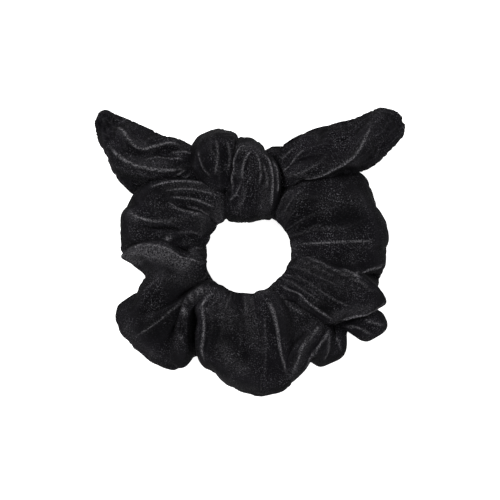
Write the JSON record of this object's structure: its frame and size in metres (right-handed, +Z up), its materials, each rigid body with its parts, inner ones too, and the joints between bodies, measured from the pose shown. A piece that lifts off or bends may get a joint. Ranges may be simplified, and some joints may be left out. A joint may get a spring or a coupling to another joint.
{
  "type": "scrunchie",
  "caption": "Gathered velvet hair tie with a knotted bow: a ruffled fabric tube over an elastic ring, and two soft pointed ears that lift.",
  "frame": {"origin": "middle of the hair opening, halfway up its wall", "axes": "+Z up out of the opening when the scrunchie lies flat, +Y from the opening to the bow's knot, +X to the right"},
  "size_m": [0.124, 0.1134, 0.025],
  "materials": {
    "velvet": "velvet pile, matt with a soft sheen on the folds",
    "elastic": "matt braided elastic",
    "thread": "spun polyester thread"
  },
  "bodies": {
    "root": {"cover_upper": "velvet", "elastic_upper": "elastic", "long_seam_upper": "thread", "bow_knot": "velvet"},
    "ring_lower": {"cover_lower": "velvet", "elastic_lower": "elastic", "elastic_stitches": "thread", "long_seam_lower": "thread", "closing_seam": "thread"},
    "left_ear": {"bow_left_ear": "velvet", "left_ear_seam": "thread"},
    "right_ear": {"bow_right_ear": "velvet", "right_ear_seam": "thread"}
  },
  "joints": [
    {"name": "ring_stretch", "type": "slide", "parent": "root", "child": "ring_lower", "axis": [0, -1, 0], "range_m": [0, 0.05], "stiffness_N_per_m": 80},
    {"name": "left_ear_lift", "type": "hinge", "parent": "root", "child": "left_ear", "pos_m": [-0.0268, 0.038, 0.002], "axis": [0.0873, 0.9962, 0], "range_deg": [0, 90]},
    {"name": "right_ear_lift", "type": "hinge", "parent": "root", "child": "right_ear", "pos_m": [0.01703, 0.038, 0.002], "axis": [0.2125, -0.9772, 0], "range_deg": [0, 90]}
  ]
}
